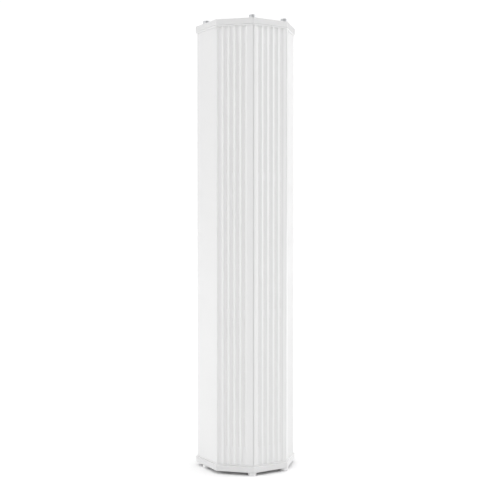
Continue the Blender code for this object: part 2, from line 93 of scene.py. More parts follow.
# %% A helper that adds a node
def add_node(tree, kind, options=None, values=None, links=None):
    """Adds a node; options are its menus, values its sockets' numbers, links its joined inputs."""
    node = tree.nodes.new(kind)
    for key, value in (options or {}).items():
        setattr(node, key, value)
    for socket, value in (values or {}).items():
        node.inputs[socket].default_value = value
    for socket, source in (links or {}).items():
        tree.links.new(source, node.inputs[socket])
    return node


def start_finish(name):
    """An empty material: its tree, its shader and the object's own coordinates."""
    finish = bpy.data.materials.new(name)
    finish.use_nodes = True
    tree = finish.node_tree
    tree.nodes.clear()
    shader = add_node(tree, "ShaderNodeBsdfPrincipled")
    add_node(tree, "ShaderNodeOutputMaterial", links={"Surface": shader.outputs["BSDF"]})
    place = add_node(tree, "ShaderNodeTexCoord").outputs["Object"]
    return finish, tree, shader, place


print("helpers ready")

# %% [markdown]
# ## Powder-coated aluminium
# The body and the caps are aluminium extrusions and plates with a white polyester powder coat,
# baked to a soft satin. Up close such a coat has orange peel: shallow waves 1 to 2 mm long. They
# are drawn 2.5 mm long here, since finer ones would not show. Broad, faint clouds in the white
# and in the gloss keep the big faces from looking like plain plastic.


# %% Powder coat
def powder_coated_aluminium(name, white, shade, satin):
    """White polyester powder on aluminium; satin is the middle roughness."""
    finish, tree, shader, place = start_finish(name)
    clouds = add_node(tree, "ShaderNodeTexNoise",
                      values={"Scale": 1.0 / 0.070, "Detail": 2.0, "Roughness": 0.5},
                      links={"Vector": place})
    tone = add_node(tree, "ShaderNodeMix", {"data_type": "RGBA"},
                    {"A": linear(white), "B": linear(shade)}, {"Factor": clouds.outputs["Fac"]})
    gloss = add_node(tree, "ShaderNodeMapRange",
                     values={"From Min": 0.3, "From Max": 0.7, "To Min": satin - 0.04,
                             "To Max": satin + 0.04},
                     links={"Value": clouds.outputs["Fac"]})
    peel = add_node(tree, "ShaderNodeTexNoise",
                    values={"Scale": 1.0 / 0.0025, "Detail": 1.5, "Roughness": 0.45},
                    links={"Vector": place})
    relief = add_node(tree, "ShaderNodeBump", values={"Strength": 0.20, "Distance": 0.00006},
                      links={"Height": peel.outputs["Fac"]})
    tree.links.new(tone.outputs["Result"], shader.inputs["Base Color"])
    tree.links.new(gloss.outputs["Result"], shader.inputs["Roughness"])
    tree.links.new(relief.outputs["Normal"], shader.inputs["Normal"])
    shader.inputs["IOR"].default_value = 1.5
    return finish


coat_body = powder_coated_aluminium("powder_coated_aluminium_body", "ECECEC", "E9E9E9", 0.34)
coat_caps = powder_coated_aluminium("powder_coated_aluminium_caps", "E5E5E5", "E2E2E2", 0.36)
print("coats:", coat_body.name, coat_caps.name)

# %% [markdown]
# ## Zinc-plated steel
# The screws, washers and rail nuts are steel with a thin bright zinc plate. Zinc passivates in
# small cloudy patches, so the brightness and the gloss drift over a few millimetres.


# %% Zinc plate
def zinc_plated_steel(name):
    """Bright zinc on machined steel, slightly cloudy."""
    finish, tree, shader, place = start_finish(name)
    patches = add_node(tree, "ShaderNodeTexNoise",
                       values={"Scale": 1.0 / 0.003, "Detail": 3.0, "Roughness": 0.6},
                       links={"Vector": place})
    tone = add_node(tree, "ShaderNodeMix", {"data_type": "RGBA"},
                    {"A": linear("E2E3E4"), "B": linear("CED0D2")},
                    {"Factor": patches.outputs["Fac"]})
    gloss = add_node(tree, "ShaderNodeMapRange",
                     values={"From Min": 0.3, "From Max": 0.7, "To Min": 0.42, "To Max": 0.56},
                     links={"Value": patches.outputs["Fac"]})
    tree.links.new(tone.outputs["Result"], shader.inputs["Base Color"])
    tree.links.new(gloss.outputs["Result"], shader.inputs["Roughness"])
    shader.inputs["Metallic"].default_value = 1.0
    return finish


zinc = zinc_plated_steel("zinc_plated_steel")
print("plating:", zinc.name)

# %% [markdown]
# ## Rubber and foam
# The frames between body and caps are die-cut from a pale EPDM rubber sheet: matt, with a faint
# calender grain. The feet are white silicone rubber, made by the same recipe. Behind the flutes
# lies open-cell polyether foam, whose pores are half a millimetre wide. They are drawn 0.8 mm wide,
# so that they show, and the hollows of the pores are painted a little darker as painted shade.


# %% Rubber and foam
def soft_rubber(name, pale, dark):
    """Pale rubber, matt, with a fine grain."""
    finish, tree, shader, place = start_finish(name)
    grain = add_node(tree, "ShaderNodeTexNoise",
                     values={"Scale": 1.0 / 0.0012, "Detail": 2.0, "Roughness": 0.6},
                     links={"Vector": place})
    tone = add_node(tree, "ShaderNodeMix", {"data_type": "RGBA"},
                    {"A": linear(pale), "B": linear(dark)}, {"Factor": grain.outputs["Fac"]})
    relief = add_node(tree, "ShaderNodeBump", values={"Strength": 0.3, "Distance": 0.0001},
                      links={"Height": grain.outputs["Fac"]})
    tree.links.new(tone.outputs["Result"], shader.inputs["Base Color"])
    tree.links.new(relief.outputs["Normal"], shader.inputs["Normal"])
    shader.inputs["Roughness"].default_value = 0.75
    shader.inputs["IOR"].default_value = 1.52
    return finish


def polyether_foam(name):
    """White open-cell foam: round pores with soft walls, their hollows painted darker as painted shade.
    """
    finish, tree, shader, place = start_finish(name)
    pores = add_node(tree, "ShaderNodeTexVoronoi", {"feature": "F1"},
                     {"Scale": 1.0 / 0.0008, "Randomness": 0.9}, {"Vector": place})
    # The pore hollows, where the bump dips, are painted darker: painted shade.
    tone = add_node(tree, "ShaderNodeMix", {"data_type": "RGBA"},
                    {"A": linear("DEDEDD"), "B": linear("EFEFEE")},
                    {"Factor": pores.outputs["Distance"]})
    relief = add_node(tree, "ShaderNodeBump", values={"Strength": 0.5, "Distance": 0.0002},
                      links={"Height": pores.outputs["Distance"]})
    tree.links.new(tone.outputs["Result"], shader.inputs["Base Color"])
    tree.links.new(relief.outputs["Normal"], shader.inputs["Normal"])
    shader.inputs["Roughness"].default_value = 0.9
    shader.inputs["IOR"].default_value = 1.5
    return finish


seal_rubber = soft_rubber("epdm_rubber_pale", "F4F4F4", "EEEEEE")
foot_rubber = soft_rubber("silicone_rubber_white", "F0F0F0", "EAEAEA")
white_foam = polyether_foam("polyether_foam_white")
print("soft finishes:", seal_rubber.name, white_foam.name)

# %% [markdown]
# ## From a bmesh to a finished piece
# Every new piece is shaped in millimetres. This helper merges doubles, turns the faces outwards,
# shrinks the shape to metres and hands it over: it rides on a body, takes its finish and hides
# the CAD nodes that it replaces. The weighted normals keep flat faces flat beside their rounded edges.


# %% Hand a shape over
def hand_over(name, bm, finish, nodes=(), body="column", crease=32.0):
    """Makes the object, closes its seams and hides the CAD nodes that it replaces."""
    bmesh.ops.remove_doubles(bm, verts=bm.verts[:], dist=0.002)
    bmesh.ops.recalc_face_normals(bm, faces=bm.faces[:])
    bmesh.ops.scale(bm, vec=(MM, MM, MM), verts=bm.verts[:])
    mesh = bpy.data.meshes.new(name)
    bm.to_mesh(mesh)
    bm.free()
    return dress(bpy.data.objects.new(name, mesh), finish, nodes, body, crease)


def dress(piece, finish, nodes, body, crease):
    """Links a piece, shades it, sets it on its body and hides the CAD nodes that it replaces."""
    mesh = piece.data
    mesh.materials.clear()
    mesh.materials.append(finish)
    mesh.polygons.foreach_set("use_smooth", [True] * len(mesh.polygons))
    mesh.set_sharp_from_angle(angle=math.radians(crease))
    if piece.name not in bpy.context.scene.collection.objects:
        bpy.context.scene.collection.objects.link(piece)
    even = piece.modifiers.new("even_shading", "WEIGHTED_NORMAL")
    even.keep_sharp = True
    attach(piece, body)
    if nodes:
        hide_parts(*nodes)
    print(piece.name, "has", len(mesh.polygons), "faces")
    return piece


print("ready to hand pieces over")

# %% [markdown]
# ## Drawing a cross-section
# The two halves of the body are extrusions: one cross-section pushed out along a line. A
# cross-section is walked like a pen stroke from one vertex: straight moves extrude it, and round
# moves spin it. Each body half is the same left and right, so only one side is drawn and mirrored.


# %% Walk an outline, mirror it and raise it
def walk(bm, here, *moves):
    """Draws on from a vertex; a move is ("line", x, y) or ("arc", cx, cy, degrees, steps)."""
    for kind, x, y, *more in moves:
        if kind == "line":
            here = bmesh.ops.extrude_vert_indiv(bm, verts=[here])["verts"][0]
            here.co = (x, y, 0.0)
        else:
            drawn = bmesh.ops.spin(bm, geom=[here], cent=(x, y, 0.0), axis=(0.0, 0.0, 1.0),
                                   angle=math.radians(more[0]), steps=more[1])
            here = drawn["geom_last"][0]
    return here


def on_circle(cx, cy, radius, degrees):
    return cx + radius * math.cos(math.radians(degrees)), cy + radius * math.sin(math.radians(degrees))


def round_corners(bm, corners, radius, segments):
    """Rounds some corners of a flat outline."""
    bmesh.ops.bevel(bm, geom=corners, offset=radius, affect="VERTICES", segments=segments,
                    profile=0.5, material=-1)


def mirror_outline(bm):
    bmesh.ops.mirror(bm, geom=bm.verts[:] + bm.edges[:], axis="X", merge_dist=0.001)
    bmesh.ops.remove_doubles(bm, verts=bm.verts[:], dist=0.001)


def raise_outline(bm, low, high):
    """Fills the closed outlines of a flat drawing and pushes them up from low to high."""
    bmesh.ops.translate(bm, vec=(0.0, 0.0, low), verts=bm.verts[:])
    bmesh.ops.triangle_fill(bm, edges=bm.edges[:], use_beauty=True, use_dissolve=False)
    grown = bmesh.ops.extrude_face_region(bm, geom=bm.faces[:])
    lifted = [item for item in grown["geom"] if isinstance(item, bmesh.types.BMVert)]
    bmesh.ops.translate(bm, vec=(0.0, 0.0, high - low), verts=lifted)


print("drawing tools ready")

# %% [markdown]
# ## Screw ports
# Where a screw enters the end of an extrusion, the section has a C-shaped boss, open on one side,
# so that the die can form it in one go. Both halves of the body have a pair of them.

# %% Draw a screw port
BOSS_R = 3.9
BORE_R = 2.25
SLIT_HALF = 1.0
FRONT_PORT = (26.5, -44.0)
REAR_PORT = (61.5, 26.0)


def walk_port(bm, here, cx, cy, first, last, mouth, way):
    """C-shaped boss from angle first to angle last; way is 1 anticlockwise and -1 clockwise."""
    outer = way * math.degrees(math.asin(SLIT_HALF / BOSS_R))
    inner = way * math.degrees(math.asin(SLIT_HALF / BORE_R))
    here = walk(bm, here, ("line", *on_circle(cx, cy, BOSS_R, first)),
                ("arc", cx, cy, mouth - outer - first, 8),
                ("line", *on_circle(cx, cy, BORE_R, mouth - inner)),
                ("arc", cx, cy, 2.0 * inner - way * 360.0, 24),
                ("line", *on_circle(cx, cy, BOSS_R, mouth + outer)),
                ("arc", cx, cy, last - mouth - outer, 8))
    return here


print("port bore for an M5 screw:", 2.0 * BORE_R, "mm")

# %% [markdown]
# ## The fluted front panel
# The panel has three faces: one flat front face and two at 45 degrees. Each face carries five
# hollows, the flutes, that are arcs of a 6 mm circle. Between two flutes stands a
# narrow land, rounded by the extrusion die. A fine groove runs down both front edges and shows as
# a dark line. The arcs are spun and the lands are bevelled corners, so the light rolls over them
# as on the real panel.

# %% Walk across one fluted face
body_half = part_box("rear_shell")[1][0] / MM
panel_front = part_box("front_panel")[0][1] / MM
CAP_NOSE = 28.4
OVERHANG = 2.0
HALF_TURN = math.tan(math.radians(22.5))
RIDGE_X = CAP_NOSE - OVERHANG * HALF_TURN
SEAM_Y = panel_front + body_half - RIDGE_X
LAND = 0.8
PANEL_WALL = 2.8
GROOVE_HALF = 0.62
GROOVE_IN = (-0.46, 1.11)
FRONT_FLUTES = {"pitch": 9.15, "radius": 6.2}
CORNER_FLUTES = {"pitch": 8.65, "radius": 5.8}
SEAM_TO_FLUTE = 5.125


def flute_depth(flutes):
    rim = (flutes["pitch"] - LAND) / 2.0
    return flutes["radius"] - math.sqrt(flutes["radius"] ** 2 - rim ** 2)


def walk_flutes(bm, here, origin, run, flutes, middles):
    """Hollows flutes along a face; gives the last vertex and the rims to round."""
    rim = (flutes["pitch"] - LAND) / 2.0
    drop = flutes["radius"] - flute_depth(flutes)
    outward = Vector((run.y, -run.x))
    turn = -2.0 * math.degrees(math.asin(rim / flutes["radius"]))
    rims = []
    for along in middles:
        middle = origin + run * along
        near = middle - run * rim
        centre = middle + outward * drop
        here = walk(bm, here, ("line", near.x, near.y))
        rims.append(here)
        here = walk(bm, here, ("arc", centre.x, centre.y, turn, 14))
        rims.append(here)
    return here, rims


print("front flutes are", round(flute_depth(FRONT_FLUTES), 2), "mm deep")

# %% Draw and raise the panel
corner_run = Vector((body_half - RIDGE_X, SEAM_Y - panel_front)).normalized()
corner_long = math.hypot(body_half - RIDGE_X, SEAM_Y - panel_front)
front_middles = [FRONT_FLUTES["pitch"] * at for at in range(3)]
corner_middles = [corner_long - SEAM_TO_FLUTE - CORNER_FLUTES["pitch"] * at for at in range(4, -1, -1)]
ridge = Vector((RIDGE_X, panel_front))
front_middle = Vector((0.0, panel_front))
lean = RIDGE_X - panel_front - PANEL_WALL * math.sqrt(2.0)
inner_face = panel_front + PANEL_WALL


def draw_panel(bm):
    """Right half of the panel's section, from the middle of the front to the middle inside."""
    drop = FRONT_FLUTES["radius"] - flute_depth(FRONT_FLUTES)
    half_turn = math.degrees(math.asin((FRONT_FLUTES["pitch"] - LAND) / 2.0 / FRONT_FLUTES["radius"]))
    pen = bm.verts.new((0.0, panel_front + flute_depth(FRONT_FLUTES), 0.0))
    pen = walk(bm, pen, ("arc", 0.0, panel_front - drop, -half_turn, 7))
    rims = [pen]
    pen, more = walk_flutes(bm, pen, front_middle, Vector((1.0, 0.0)), FRONT_FLUTES,
                            front_middles[1:])
    rims += more
    pen = walk(bm, pen, ("line", RIDGE_X - GROOVE_HALF, panel_front))
    nose = [pen]
    past = ridge + corner_run * GROOVE_HALF
    pen = walk(bm, pen, ("line", RIDGE_X - GROOVE_HALF + GROOVE_IN[0], panel_front + GROOVE_IN[1]))
    nose.append(pen)
    pen = walk(bm, pen, ("line", past.x + GROOVE_IN[0], past.y + GROOVE_IN[1]))
    nose.append(pen)
    pen = walk(bm, pen, ("line", past.x, past.y))
    nose.append(pen)
    pen, more = walk_flutes(bm, pen, ridge, corner_run, CORNER_FLUTES, corner_middles)
    pen = walk(bm, pen, ("line", body_half - 0.1, SEAM_Y - 0.1))
    edge = pen
    pen = walk(bm, pen, ("line", 62.7, SEAM_Y - 0.1), ("line", 62.7, -5.0), ("line", 60.3, -5.0),
               ("line", 60.3, -11.0), ("line", 56.0, -11.0), ("line", 56.0, -12.6),
               ("line", lean - 12.6, -12.6))
    px, py = FRONT_PORT
    off_corner = (lean - px + py) / math.sqrt(2.0)
    first = -45.0 + math.degrees(math.acos(off_corner / BOSS_R))
    last = 270.0 - math.degrees(math.acos((py - inner_face) / BOSS_R))
    pen = walk_port(bm, pen, px, py, first, last, 120.0, 1)
    walk(bm, pen, ("line", 0.0, inner_face))
    round_corners(bm, rims + more, 0.26, 3)
    round_corners(bm, nose, 0.12, 3)
    round_corners(bm, [edge], 0.25, 2)


bm = bmesh.new()
draw_panel(bm)
mirror_outline(bm)
raise_outline(bm, body_low, body_high)
print("panel section raised:", len(bm.faces), "faces")

# %% [markdown]
# ## Sound slots
# Sound leaves through narrow slots milled along the bottoms of the flutes: all five on the front
# and four on each corner face, where the flute at the seam has a wall behind it. One cutter holds
# all of them, and an exact Boolean takes them out in a single pass.


# %% Mill the slots
def cut(piece_mesh, tool_bm, name, crossed=False):
    """Takes a tool away with an exact Boolean; crossed means that its parts overlap."""
    tool_mesh = bpy.data.meshes.new(name + "_tool")
    tool_bm.to_mesh(tool_mesh)
    tool_bm.free()
    blank = bpy.data.objects.new(name + "_blank", piece_mesh)
    tool = bpy.data.objects.new(name + "_tool", tool_mesh)
    for item in (blank, tool):
        bpy.context.scene.collection.objects.link(item)
    milling = blank.modifiers.new("milling", "BOOLEAN")
    milling.solver = "EXACT"
    milling.object = tool
    milling.operation = "DIFFERENCE"
    milling.use_self = crossed
    graph = bpy.context.evaluated_depsgraph_get()
    result = bmesh.new()
    result.from_object(blank, graph)
    for item in (blank, tool):
        bpy.data.objects.remove(item)
    return result


SLOT_WIDE = 1.6
SLOT_SPANS = ((40.0, 222.0), (234.0, 416.0), (428.0, 610.0))
FACES = {"left": (Vector((-body_half, SEAM_Y)), Vector((corner_run.x, -corner_run.y)),
                  [corner_long - along for along in corner_middles[:4]], CORNER_FLUTES),
         "front": (Vector((-RIDGE_X, panel_front)), Vector((1.0, 0.0)),
                   [RIDGE_X + FRONT_FLUTES["pitch"] * at for at in range(-2, 3)], FRONT_FLUTES),
         "right": (ridge, corner_run, corner_middles[:4], CORNER_FLUTES)}


def face_matrix(side, along, depth, height):
    """Frame on a fluted face: x runs along it, y goes inwards, z is up."""
    origin, run = FACES[side][:2]
    spot = origin + run * along + Vector((-run.y, run.x)) * depth
    return Matrix(((run.x, -run.y, 0.0, spot.x), (run.y, run.x, 0.0, spot.y),
                   (0.0, 0.0, 1.0, height), (0.0, 0.0, 0.0, 1.0)))


slots = bmesh.new()
for side in FACES:
    for along in FACES[side][2]:
        for low, high in SLOT_SPANS:
            place = face_matrix(side, along, 1.5, (low + high) / 2.0)
            size = Matrix.Diagonal((SLOT_WIDE, 5.0, high - low, 1.0))
            bmesh.ops.create_cube(slots, size=1.0, matrix=place @ size)
panel_mesh = bpy.data.meshes.new("panel_blank")
bm.to_mesh(panel_mesh)
bm.free()
panel_bm = cut(panel_mesh, slots, "slots")
hand_over("fluted_front_panel", panel_bm, coat_body, ["front_panel"])

# %% [markdown]
# ## The rear shell
# The back half is a U-shaped extrusion: two plain sides, a back with rounded corners, a rib that
# holds the baffle, two screw ports and, in the middle of the back, an undercut rail that takes
# the nuts of a wall bracket. It is drawn and raised in the same way.

# %% Draw and raise the shell
rail_floor = 41.4
SIDE_WALL = 2.2
BACK_WALL = 2.4
body_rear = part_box("rear_shell")[1][1] / MM


def draw_shell(bm):
    """Right half of the shell's section, from the rail's floor round to its inner side."""
    inner = body_half - SIDE_WALL
    back_in = body_rear - BACK_WALL
    front = SEAM_Y + 0.1
    pen = walk(bm, bm.verts.new((0.0, rail_floor, 0.0)), ("line", 6.5, rail_floor),
               ("line", 6.5, back_in), ("line", 3.5, back_in))
    lips = [pen]
    pen = walk(bm, pen, ("line", 3.5, body_rear))
    lips.append(pen)
    pen = walk(bm, pen, ("line", body_half - 3.0, body_rear),
               ("arc", body_half - 3.0, body_rear - 3.0, -90.0, 10))
    pen = walk(bm, pen, ("line", body_half, front))
    edge = pen
    pen = walk(bm, pen, ("line", inner, front), ("line", inner, -4.6), ("line", 54.0, -4.6),
               ("line", 54.0, -2.6), ("line", inner, -2.6))
    reach = math.degrees(math.acos((inner - REAR_PORT[0]) / BOSS_R))
    pen = walk_port(bm, pen, *REAR_PORT, 360.0 - reach, reach, 180.0, -1)
    walk(bm, pen, ("line", inner, back_in), ("line", 8.3, back_in), ("line", 8.3, 39.6),
         ("line", 0.0, 39.6))
    round_corners(bm, lips, 0.4, 3)
    round_corners(bm, [edge], 0.25, 2)


bm = bmesh.new()
draw_shell(bm)
mirror_outline(bm)
raise_outline(bm, body_low, body_high)
hand_over("back_shell", bm, coat_body, ["rear_shell"])

# %% [markdown]
# ## Caps
# Both ends are closed by an 8.4 mm plate that stands 2 mm proud of the body all round. Its corners
# and its edges are broken by a small radius. The outline starts as six corner points, bevelled to
# radii, the screw holes are circles, and the filled plate is pushed up and bevelled at its rim.


# %% Make a cap
def draw_outline(bm, inset, near, far):
    """Column outline, moved in by inset, with corner radii near (front) and far (rear)."""
    half = cap_half - inset
    nose_x = CAP_NOSE - inset * HALF_TURN
    front, rear = cap_front + inset, cap_rear - inset
    seam = front + half - nose_x
    corners = [(-nose_x, front), (nose_x, front), (half, seam), (half, rear), (-half, rear),
               (-half, seam)]
    points = [bm.verts.new((x, y, 0.0)) for x, y in corners]
    for at, point in enumerate(points):
        bm.edges.new((point, points[(at + 1) % len(points)]))
    round_corners(bm, [points[0], points[1], points[2], points[5]],
                  near * HALF_TURN, 5)
    round_corners(bm, [points[3], points[4]], far, 7)


cap_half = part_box("top_cap")[1][0] / MM
cap_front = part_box("top_cap")[0][1] / MM
cap_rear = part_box("top_cap")[1][1] / MM
SCREW_SPOTS = {"front_left": (-FRONT_PORT[0], FRONT_PORT[1]), "front_right": FRONT_PORT,
               "rear_left": (-REAR_PORT[0], REAR_PORT[1]), "rear_right": REAR_PORT}


def make_cap(name, low, high, node, openings):
    """A plate with screw holes and other round openings, its rim rounded."""
    bm = bmesh.new()
    draw_outline(bm, 0.0, 2.0, 4.0)
    rim_spots = {(round(v.co.x, 3), round(v.co.y, 3)) for v in bm.verts}
    for x, y, radius in openings + [(x, y, 2.7) for x, y in SCREW_SPOTS.values()]:
        bmesh.ops.create_circle(bm, segments=32, radius=radius,
                                matrix=Matrix.Translation((x, y, 0.0)))
    raise_outline(bm, low, high)
    rim = []
    for line in bm.edges:
        a, b = line.verts
        level = abs(a.co.z - b.co.z) < 1e-4
        outside = all((round(v.co.x, 3), round(v.co.y, 3)) in rim_spots for v in line.verts)
        if level and outside and line.calc_face_angle(0.0) > 1.0:
            rim.append(line)
    bmesh.ops.bevel(bm, geom=rim, offset=0.7, affect="EDGES", segments=3, profile=0.5,
                    material=-1)
    return hand_over(name, bm, coat_caps, [node])


make_cap("top_plate", cap_high_under, cap_high, "top_cap", [])
socket_y = 10.0
SOCKET_HOLE_R = 12.4
make_cap("bottom_plate", cap_low, cap_low_top, "bottom_cap", [(0.0, socket_y, SOCKET_HOLE_R)])

# %% [markdown]
# ## Rubber frames
# A thin, pale rubber frame seals each cap to the body. The lower one ends flush with the faces of
# the body and shows as a fine line. The upper one is squeezed out by 1 mm and catches the light.
# The outline of the cap is drawn again, a little smaller.


# %% Make the seals
def make_seal(name, node, inset):
    """A flat frame; inset is how far its edge lies inside the edge of the cap."""
    low, high = heights(node)
    bm = bmesh.new()
    draw_outline(bm, inset, 1.6, 2.2)
    draw_outline(bm, 13.0, 1.0, 6.0)
    for x, y in SCREW_SPOTS.values():
        bmesh.ops.create_circle(bm, segments=24, radius=2.7,
                                matrix=Matrix.Translation((x, y, 0.0)))
    raise_outline(bm, low, high)
    return hand_over(name, bm, seal_rubber, [node])


make_seal("seal_under_top_cap", "top_gasket", 0.9)
make_seal("seal_over_bottom_cap", "bottom_gasket", 2.12)

# %% [markdown]
# ## Cap screws
# Four cheese-head screws with washers hold the top cap. The four below it sit in white rubber
# feet, that the column stands on. A screw is a turned part: half its outline is spun round its
# axis. The cross recess is cut afterwards with two crossed, tapered blades.


# %% Turn a profile
def turn(points, steps, spot, axis, soften=0.0):
    """Spins half an outline, given as (radius, height) pairs, round an axis through spot."""
    bm = bmesh.new()
    pen = bm.verts.new((points[0][0], 0.0, points[0][1]))
    for radius, height in points[1:]:
        pen = bmesh.ops.extrude_vert_indiv(bm, verts=[pen])["verts"][0]
        pen.co = (radius, 0.0, height)
    if soften:
        bmesh.ops.remove_doubles(bm, verts=bm.verts[:], dist=0.0005)
        bends = [v for v in bm.verts if len(v.link_edges) == 2]
        bmesh.ops.bevel(bm, geom=bends, offset=soften, affect="VERTICES", segments=3,
                        profile=0.5, material=-1, clamp_overlap=True)
    bmesh.ops.spin(bm, geom=bm.verts[:] + bm.edges[:], cent=(0.0, 0.0, 0.0), axis=(0.0, 0.0, 1.0),
                   angle=math.tau, steps=steps, use_merge=True)
    bmesh.ops.remove_doubles(bm, verts=bm.verts[:], dist=0.0005)
    upright = Vector((0.0, 0.0, 1.0)).rotation_difference(Vector(axis)).to_matrix().to_4x4()
    bmesh.ops.transform(bm, matrix=Matrix.Translation(spot) @ upright, verts=bm.verts[:])
    bmesh.ops.recalc_face_normals(bm, faces=bm.faces[:])
    return bm


SHANK = [(1.95, -20.8), (1.2, -22.0), (0.0, -22.0)]
TOP_HEAD = [(0.0, 4.3), (2.8, 4.6), (4.1, 4.6), (4.5, 4.45), (4.7, 4.1), (4.7, 1.2), (4.6, 1.04),
            (1.95, 1.04)] + SHANK
LOW_HEAD = [(0.0, 3.4), (2.5, 3.6), (3.5, 3.4), (4.0, 2.9), (4.1, 2.2), (1.95, 2.2)] + SHANK
WASHER = [(2.65, 0.02), (4.85, 0.02), (5.0, 0.17), (5.0, 0.85), (4.85, 1.0), (2.65, 1.0),
          (2.55, 0.9), (2.55, 0.12), (2.65, 0.02)]
FOOT = [(2.1, 0.1), (5.6, 0.1), (5.9, 0.4), (5.9, 3.7), (5.75, 4.15), (5.4, 4.45), (4.9, 4.6),
        (4.7, 4.6), (4.4, 4.4), (4.25, 4.0), (4.25, 2.0), (2.1, 2.0), (2.1, 0.1)]


def make_screw(name, outline, spot, axis, nodes):
    """Screw with a cross recess."""
    head = turn(outline, 48, spot, axis)
    mesh = bpy.data.meshes.new("screw_blank")
    head.to_mesh(mesh)
    head.free()
    blades = bmesh.new()
    upright = Vector((0.0, 0.0, 1.0)).rotation_difference(Vector(axis)).to_matrix().to_4x4()
    for quarter in (0.0, 90.0):
        place = (Matrix.Translation(spot) @ upright @ Matrix.Rotation(math.radians(quarter), 4, "Z")
                 @ Matrix.Translation((0.0, 0.0, outline[0][1] - 0.2)))
        blade = bmesh.ops.create_cube(blades, size=1.0)["verts"]
        deep = [v for v in blade if v.co.z < 0.0]
        bmesh.ops.scale(blades, vec=(0.5, 0.75, 1.0), verts=deep)
        bmesh.ops.transform(blades, matrix=place @ Matrix.Diagonal((4.6, 1.0, 3.0, 1.0)),
                            verts=blade)
    return hand_over(name, cut(mesh, blades, "recess", True), zinc, nodes)


for place_name, (x, y) in SCREW_SPOTS.items():
    top, low = (x, y, cap_high), (x, y, cap_low)
    make_screw("cap_screw_" + place_name, TOP_HEAD, top, (0.0, 0.0, 1.0),
               ["top_screw_" + place_name])
    hand_over("cap_washer_" + place_name, turn(WASHER, 48, top, (0.0, 0.0, 1.0)), zinc)
    make_screw("foot_screw_" + place_name, LOW_HEAD, low, (0.0, 0.0, -1.0), [])
    hand_over("foot_" + place_name, turn(FOOT, 56, low, (0.0, 0.0, -1.0)), foot_rubber,
              ["bottom_screw_" + place_name])

# %% [markdown]
# ## Foam behind the flutes
# A foam pad lies behind each face, and its raised ribs fill the slots from inside, so that dust
# stays out and the openings hardly show. A slab is cut into strips by planes, and the faces that
# lie in a slot are pushed out to the bottom of the flute.


# %% Make the foam pads
def make_foam(side, along_from, along_to):
    near, far = PANEL_WALL + 0.3, PANEL_WALL + 2.3
    low, high = body_low + 3.0, body_high - 3.0
    half = SLOT_WIDE / 2.0 - 0.03
    bm = bmesh.new()
    size = Matrix.Diagonal((along_to - along_from, far - near, high - low, 1.0))
    middle = Matrix.Translation(((along_from + along_to) / 2.0, (near + far) / 2.0,
                                 (low + high) / 2.0))
    bmesh.ops.create_cube(bm, size=1.0, matrix=middle @ size)
    spans = [(along - half, along + half) for along in FACES[side][2]]
    lifts = [(a + 0.3, b - 0.3) for a, b in SLOT_SPANS]
    for value in [value for span in spans for value in span]:
        bmesh.ops.bisect_plane(bm, geom=bm.verts[:] + bm.edges[:] + bm.faces[:],
                               plane_co=(value, 0.0, 0.0), plane_no=(1.0, 0.0, 0.0))
    for value in [value for lift in lifts for value in lift]:
        bmesh.ops.bisect_plane(bm, geom=bm.verts[:] + bm.edges[:] + bm.faces[:],
                               plane_co=(0.0, 0.0, value), plane_no=(0.0, 0.0, 1.0))
    ribs = []
    for face in bm.faces:
        spot = face.calc_center_median()
        if (face.normal.y < -0.9 and any(a < spot.x < b for a, b in spans)
                and any(a < spot.z < b for a, b in lifts)):
            ribs.append(face)
    grown = bmesh.ops.extrude_face_region(bm, geom=ribs)
    tips = [item for item in grown["geom"] if isinstance(item, bmesh.types.BMVert)]
    bmesh.ops.delete(bm, geom=ribs, context="FACES")
    depth = flute_depth(FACES[side][3])
    bmesh.ops.translate(bm, vec=(0.0, depth + 0.02 - near, 0.0), verts=tips)
    bmesh.ops.transform(bm, matrix=face_matrix(side, 0.0, 0.0, 0.0), verts=bm.verts[:])
    return hand_over("foam_pad_" + side, bm, white_foam, ["foam_" + side])


make_foam("left", corner_long - 46.0, corner_long - 8.0)
make_foam("front", RIDGE_X - 21.5, RIDGE_X + 21.5)
make_foam("right", 8.0, 46.0)

# %% [markdown]
# ## Finishes inside the column
# Nothing inside shows from outside, but the part can be opened, so every inner piece gets its own
# finish. The loudspeakers sit on birch plywood, five plies of 1.1 mm whose grain crosses over. On
# an edge the plies are stripes across the thickness, drawn twice as wide so that they show. On a
# face the grain is a noise that is stretched along the board: vessels about 0.3 mm wide and 20 mm
# long, drawn 0.8 mm wide. A wave texture repeats every 0.314 / scale metres, which sets its scale.


# %% Plywood
WAVE_TURN = 0.31416
PLY_PAIR = 0.0043426


def birch_plywood(name):
    """Rotary-cut birch veneers in a clear sealer, satin."""
    finish, tree, shader, place = start_finish(name)
    along = add_node(tree, "ShaderNodeMapping", values={"Scale": (1250.0, 1250.0, 50.0)},
                     links={"Vector": place})
    grain = add_node(tree, "ShaderNodeTexNoise",
                     values={"Scale": 1.0, "Detail": 3.0, "Roughness": 0.6},
                     links={"Vector": along.outputs["Vector"]})
    plies = add_node(tree, "ShaderNodeTexWave", {"bands_direction": "Y"},
                     {"Scale": WAVE_TURN / PLY_PAIR, "Distortion": 0.4},
                     {"Vector": place})
    wood = add_node(tree, "ShaderNodeMix", {"data_type": "RGBA"},
                    {"A": linear("D9BE94"), "B": linear("B9945F")},
                    {"Factor": grain.outputs["Fac"]})
    layered = add_node(tree, "ShaderNodeMix", {"data_type": "RGBA", "blend_type": "MULTIPLY"},
                       {"Factor": 0.25}, {"A": wood.outputs["Result"],
                                          "B": plies.outputs["Color"]})
    relief = add_node(tree, "ShaderNodeBump", values={"Strength": 0.25, "Distance": 0.0001},
                      links={"Height": grain.outputs["Fac"]})
    tree.links.new(layered.outputs["Result"], shader.inputs["Base Color"])
    tree.links.new(relief.outputs["Normal"], shader.inputs["Normal"])
    shader.inputs["Roughness"].default_value = 0.5
    shader.inputs["IOR"].default_value = 1.5
    return finish


plywood = birch_plywood("sealed_birch_plywood")
print("board:", plywood.name)

